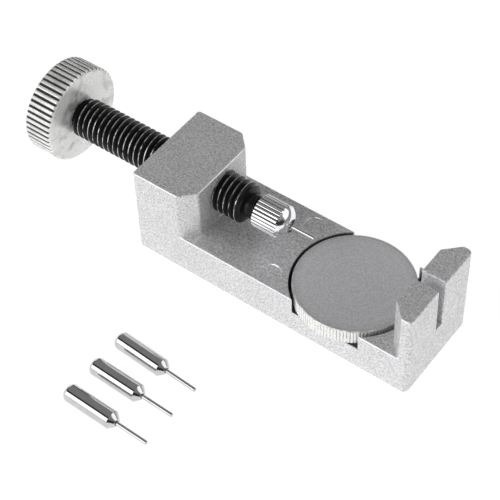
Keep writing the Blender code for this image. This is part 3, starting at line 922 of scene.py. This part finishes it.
class PINPRESS_OT_screw(bpy.types.Operator):
    """Turn the feed screw: shank, thread, taper, fine-threaded neck and socket"""

    bl_idname = "pin_press.screw"
    bl_label = "Feed screw"

    def execute(self, context):
        settings = context.scene.pin_press
        sizes = settings.screw
        crest = sizes.diameter / 2
        depth = THREAD_DEPTH * sizes.pitch
        over = 0.2 * MM
        first = SCREW_LOW.x
        last = SCREW_HIGH.x
        neck_start = CAP_LOW.x - sizes.neck_shown
        thread_end = neck_start - sizes.taper
        thread_start = KNOB_HIGH.x + sizes.shank_gap
        slope = (crest - sizes.taper_end / 2) / sizes.taper
        shank = sizes.shank / 2
        stock = [(first, shank - 0.3 * MM), (first + 0.3 * MM, shank), (thread_start, shank),
                 (thread_start + 0.05 * MM, crest - depth), (thread_start + depth, crest + over),
                 (thread_end - over / slope, crest + over),
                 (neck_start - 0.12 * MM, sizes.taper_end / 2 + 0.12 * MM * slope),
                 (neck_start, sizes.taper_end / 2 - 0.1 * MM)]
        piece = wound_rod("threaded_screw", crest, depth, sizes.pitch, KNOB_HIGH.x + sizes.first_crest,
                          first - CUT_PAST, neck_start + CUT_PAST)
        keep_in(piece, stock)
        plain = sizes.neck / 2 - 0.5 * sizes.neck_depth
        combine(piece, turn("neck_plain_tool", [(neck_start - 0.5 * MM, plain),
                                                (neck_start + sizes.neck_plain + 0.2 * MM, plain)]),
                "UNION")
        neck = wound_rod("neck_tool", sizes.neck / 2, sizes.neck_depth, sizes.neck_pitch, neck_start,
                         neck_start + sizes.neck_plain, last)
        combine(piece, neck, "UNION")
        socket = sizes.socket / 2
        hole = [(PIN_LOW.x - sizes.socket_behind, socket), (last - 0.2 * MM, socket),
                (last + 0.1 * MM, socket + 0.3 * MM)]
        cut_out(piece, hole)
        lay_along_x(piece)
        hand_over(piece, "feed_screw", "feed_screw",
                  oxide_finish(settings.looks, sizes), flatten=False)
        return {"FINISHED"}


class PINPRESS_OT_knob(bpy.types.Operator):
    """Knurl the knob, chamfer its rim and bore it for the shank"""

    bl_idname = "pin_press.knob"
    bl_label = "Knob"

    def execute(self, context):
        settings = context.scene.pin_press
        sizes = settings.knob
        rim = KNOB_RADIUS
        back = KNOB_LOW.x
        face = KNOB_HIGH.x
        piece = grooved_bar("knurled_knob", rim, sizes.groove_depth, sizes.grooves, KNOB_TOOTH,
                            back - CUT_PAST, face + CUT_PAST)
        edge = sizes.edge
        blank = [(back, rim - edge), (back + 0.6 * edge, rim - 0.25 * edge),
                 (back + edge + OVERSIZE, rim + OVERSIZE), (face - edge - OVERSIZE, rim + OVERSIZE),
                 (face - 0.6 * edge, rim - 0.25 * edge), (face, rim - edge)]
        keep_in(piece, blank, RIM_SIDES)
        bore = sizes.bore / 2
        hole = [(back - OVERSIZE, bore + 0.3 * MM), (back + 0.2 * MM, bore), (face - 0.1 * MM, bore),
                (face + OVERSIZE, bore + 0.2 * MM)]
        cut_out(piece, hole)
        lay_along_x(piece)
        hand_over(piece, "knob", "feed_screw",
                  knob_finish(settings.looks, sizes, settings.screw))
        return {"FINISHED"}


class PINPRESS_OT_cap(bpy.types.Operator):
    """Flute the chuck cap, round its nose and bore it for neck, pin and needle"""

    bl_idname = "pin_press.cap"
    bl_label = "Chuck cap"

    def execute(self, context):
        settings = context.scene.pin_press
        sizes = settings.chuck
        skirt = CAP_RADIUS
        face = sizes.nose_face / 2
        start = CAP_LOW.x
        end = CAP_HIGH.x
        piece = grooved_bar("fluted_cap", skirt, sizes.flute_depth, sizes.flutes, FLUTE_TOOTH,
                            start - CUT_PAST, end + CUT_PAST)
        shares = [step / DOME_STEPS for step in range(1, DOME_STEPS + 1)]
        dome = [(end - sizes.nose * (1 - share), skirt - (skirt - face) * nose_fall(share))
                for share in shares]
        blank = [(start, skirt - sizes.edge), (start + sizes.edge + OVERSIZE, skirt + OVERSIZE),
                 (end - sizes.nose - OVERSIZE, skirt + OVERSIZE), *dome]
        keep_in(piece, blank, RIM_SIDES)
        neck = sizes.neck_bore / 2
        pin = sizes.pin_bore / 2
        needle = sizes.needle_bore / 2
        neck_end = start + sizes.neck_bore_depth
        pin_end = PIN_HIGH.x - settings.pins.nose + 0.2 * MM
        slope = (PIN_RADIUS - settings.pins.nose_end / 2) / settings.pins.nose
        cone_end = pin_end + (pin - needle) / slope
        hole = [(start - OVERSIZE, neck + 0.2 * MM), (start + 0.15 * MM, neck), (neck_end, neck),
                (neck_end, pin), (pin_end, pin), (cone_end, needle), (end - 0.08 * MM, needle),
                (end + OVERSIZE, needle + 0.18 * MM)]
        cut_out(piece, hole)
        lay_along_x(piece)
        hand_over(piece, "chuck_cap", "chuck_cap",
                  plating_finish(settings.looks, sizes))
        return {"FINISHED"}


class PINPRESS_OT_pins(bpy.types.Operator):
    """Turn one pin and its needle, and copy them to the chuck and the three spare places"""

    bl_idname = "pin_press.pins"
    bl_label = "Driving pins"

    def execute(self, context):
        settings = context.scene.pin_press
        sizes = settings.pins
        wide = PIN_RADIUS
        thin = NEEDLE_RADIUS
        rear = PIN_LOW.x
        nose = PIN_HIGH.x
        shoulder = nose - sizes.nose
        back = [(rear, wide - sizes.rear_fall - 0.08 * MM), (rear + 0.08 * MM, wide - sizes.rear_fall)]
        hole = thin + sizes.needle_space
        floor = nose - sizes.needle_set
        rings = [*back, (rear + sizes.rear_chamfer, wide), (shoulder - 0.05 * MM, wide),
                 (shoulder + 0.03 * MM, wide - 0.05 * MM), (nose, sizes.nose_end / 2), (nose, hole),
                 (floor, hole)]
        body = lay_along_x(turn("pin_body", rings))
        tip = sizes.needle_tip
        end = NEEDLE_HIGH.x
        rings = [(NEEDLE_LOW.x, thin), (end - tip, thin), (end - 0.3 * tip, thin - 0.35 * tip),
                 (end, thin - tip)]
        needle = lay_along_x(turn("pin_needle", rings, NEEDLE_SIDES))
        looks = settings.looks
        steel = polish_finish("pin_steel", looks.pin, PIN_LINES, 0.0012 * MM)
        hardened = polish_finish("needle_steel", looks.needle, NEEDLE_LINES, 0.001 * MM)
        turns = (0.0, sizes.yaw_1, sizes.yaw_2, sizes.yaw_3)
        for name, turn_by in zip(("driver_pin", "spare_pin_1", "spare_pin_2", "spare_pin_3"), turns):
            for part, kind, slot, surface in ((body, "body", "pin_steel", steel),
                                              (needle, "needle", "needle_steel", hardened)):
                node = f"{name}_{kind}"
                choose(part)
                bpy.ops.object.duplicate(linked=False)
                copy = bpy.context.object
                copy.name = f"{name}_polished_{kind}"
                copy.data.name = copy.name
                copy.rotation_euler = (0, 0, turn_by)
                settle(copy)
                low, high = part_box(node)
                corners = [Vector(corner) for corner in copy.bound_box]
                copy.location = (low + high) / 2 - (corners[0] + corners[6]) / 2
                settle(copy)
                hand_over(copy, node, name, surface, smooth=PIN_SMOOTH_BELOW)
        for part in (body, needle):
            bpy.data.objects.remove(part, do_unlink=True)
        return {"FINISHED"}


class PINPRESS_OT_table(bpy.types.Operator):
    """Turn and knurl the table plate, and thread the stud under it"""

    bl_idname = "pin_press.table"
    bl_label = "Table"

    def execute(self, context):
        settings = context.scene.pin_press
        sizes = settings.table
        rim = PLATE_RADIUS
        under = PLATE_LOW.z
        top = PLATE_HIGH.z
        edge = sizes.edge
        plate = grooved_bar("table_disc", rim, sizes.tooth_depth, sizes.teeth, FINE_TOOTH,
                            under - CUT_PAST, top + CUT_PAST)
        blank = [(under, rim - edge), (under + edge + OVERSIZE, rim + OVERSIZE),
                 (top - edge - OVERSIZE, rim + OVERSIZE), (top, rim - edge)]
        keep_in(plate, blank, 2 * sizes.teeth)
        spigot = sizes.spigot_hole / 2
        hole = [(under - OVERSIZE, spigot + 0.2 * MM), (under + 0.1 * MM, spigot),
                (under + sizes.spigot_height, spigot)]
        cut_out(plate, hole)
        pip = [(top - 0.08 * MM, 0.3 * sizes.pip), (top - 0.03 * MM, 0.7 * sizes.pip),
               (top + OVERSIZE, sizes.pip)]
        cut_out(plate, pip, PIP_SIDES)
        stand_on_table(plate)
        hand_over(plate, "table_plate", "table_plate",
                  table_finish(settings.looks, sizes))

        wide = STUD_RADIUS
        foot = STUD_LOW.z
        head = STUD_HIGH.z
        shoulder = under - settings.frame.pocket_under
        stock = [(foot, wide - sizes.stud_edge),
                 (foot + sizes.stud_edge + OVERSIZE, wide + OVERSIZE),
                 (shoulder, wide + OVERSIZE), (shoulder, sizes.spigot / 2),
                 (head - 0.15 * MM, sizes.spigot / 2), (head, sizes.spigot / 2 - 0.15 * MM)]
        post = wound_rod("table_post", wide, 0.5 * sizes.stud_pitch, sizes.stud_pitch, foot,
                         foot - CUT_PAST, shoulder + 0.5 * MM)
        post_end = turn("post_end", [(shoulder - 0.3 * MM, sizes.spigot / 2 - 0.05 * MM),
                                     (head - 0.15 * MM, sizes.spigot / 2 - 0.05 * MM),
                                     (head, sizes.spigot / 2 - 0.2 * MM)])
        keep_in(post, stock)
        combine(post, post_end, "UNION")
        stand_on_table(post)
        hand_over(post, "table_stud", "table_stud", stud_finish(settings.looks),
                  flatten=False)
        return {"FINISHED"}


class PINPRESS_OT_stage(bpy.types.Operator):
    """Set the pale floor, the soft studio light and the camera"""

    bl_idname = "pin_press.stage"
    bl_label = "Stage"

    def execute(self, context):
        stage = context.scene.pin_press.stage
        scene = context.scene
        floor = begin("plane", "studio_floor", size=6.0, location=(0, 0, -0.1 * MM))
        pale = Finish("pale_floor")
        for name, value in (("Base Color", (*stage.floor, 1.0)), ("Roughness", 0.9),
                            ("Specular IOR Level", 0.0), ("Emission Color", WHITE),
                            ("Emission Strength", stage.floor_glow)):
            pale.set(name, value)
        floor.data.materials.append(pale.surface)

        world = bpy.data.worlds.new("soft_studio")
        scene.world = world
        world.use_nodes = True
        nodes = Nodes(world.node_tree, "Generated")
        along, across, up = nodes.parts(nodes.place)
        front = FRONT_LOW_SHARE + (1.0 - FRONT_LOW_SHARE) * nodes.ease(up, *FRONT_LOW_Z)
        front = front * nodes.fade(up, *FRONT_TOP_Z) * nodes.fade(across, *FRONT_Y)
        front = front * nodes.band(along, *FRONT_X)
        side = nodes.band(up, *SIDE_Z) * nodes.ease(along, *SIDE_X) * nodes.ease(across, *SIDE_Y)
        dark = nodes.ease(along, *DARK_X) * nodes.fade(across, *DARK_Y) * nodes.fade(up, *DARK_Z)
        seam = nodes.band(up, *SEAM_Z) * nodes.fade(across, *SEAM_Y)
        unlit = dark.most(seam).most(nodes.fade(along, *REAR_X))
        room = stage.overhead * (1.0 - DARK_SHARE * unlit)
        lights = stage.front * front + stage.side * side
        sky = world.node_tree.nodes["Background"]
        nodes.feed(sky.inputs["Strength"], room + lights)
        nodes.feed(sky.inputs["Color"], WHITE)

        bpy.ops.object.camera_add(location=stage.place)
        camera = context.object
        tilt = math.radians(90) - stage.elevation
        camera.matrix_world = (Matrix.Translation(stage.place)
                               @ Matrix.Rotation(stage.azimuth, 4, "Z")
                               @ Matrix.Rotation(tilt, 4, "X")
                               @ Matrix.Rotation(stage.roll, 4, "Z"))
        camera.data.sensor_fit = "HORIZONTAL"
        camera.data.sensor_width = 36.0
        camera.data.lens = stage.lens
        camera.data.clip_start = 0.01
        scene.camera = camera
        scene.view_settings.view_transform = "Standard"
        return {"FINISHED"}


class PINPRESS_PT_panel(bpy.types.Panel):
    """The sizes, the colours and the buttons that make each piece"""

    bl_label = "Pin Press"
    bl_idname = "PINPRESS_PT_panel"
    bl_space_type = "VIEW_3D"
    bl_region_type = "UI"
    bl_category = "Pin Press"

    def draw(self, context):
        settings = context.scene.pin_press
        for name in ("frame", "screw", "knob", "chuck", "pins", "table", "looks", "stage"):
            box = self.layout.box()
            box.label(text=name.capitalize())
            group = getattr(settings, name)
            for key in group.__annotations__:
                box.prop(group, key)
        for operator in OPERATORS:
            self.layout.operator(operator.bl_idname)


GROUPS = (FrameSizes, ScrewSizes, KnobSizes, ChuckSizes, PinSizes, TableSizes, Finishes,
          StageSettings, PressSettings)
OPERATORS = (PINPRESS_OT_frame, PINPRESS_OT_screw, PINPRESS_OT_knob, PINPRESS_OT_cap,
             PINPRESS_OT_pins, PINPRESS_OT_table, PINPRESS_OT_stage)


def register():
    """Register the add-on's classes and its settings."""
    for group in (*GROUPS, *OPERATORS, PINPRESS_PT_panel):
        bpy.utils.register_class(group)
    bpy.types.Scene.pin_press = bpy.props.PointerProperty(type=PressSettings)


def unregister():
    """Take the add-on's settings and classes away again."""
    del bpy.types.Scene.pin_press
    for group in reversed((*GROUPS, *OPERATORS, PINPRESS_PT_panel)):
        bpy.utils.unregister_class(group)


def main():
    """Make every piece and the stage."""
    register()
    for make in (bpy.ops.pin_press.frame, bpy.ops.pin_press.screw, bpy.ops.pin_press.knob,
                 bpy.ops.pin_press.cap, bpy.ops.pin_press.pins, bpy.ops.pin_press.table,
                 bpy.ops.pin_press.stage):
        make()


if __name__ == "__main__":
    main()
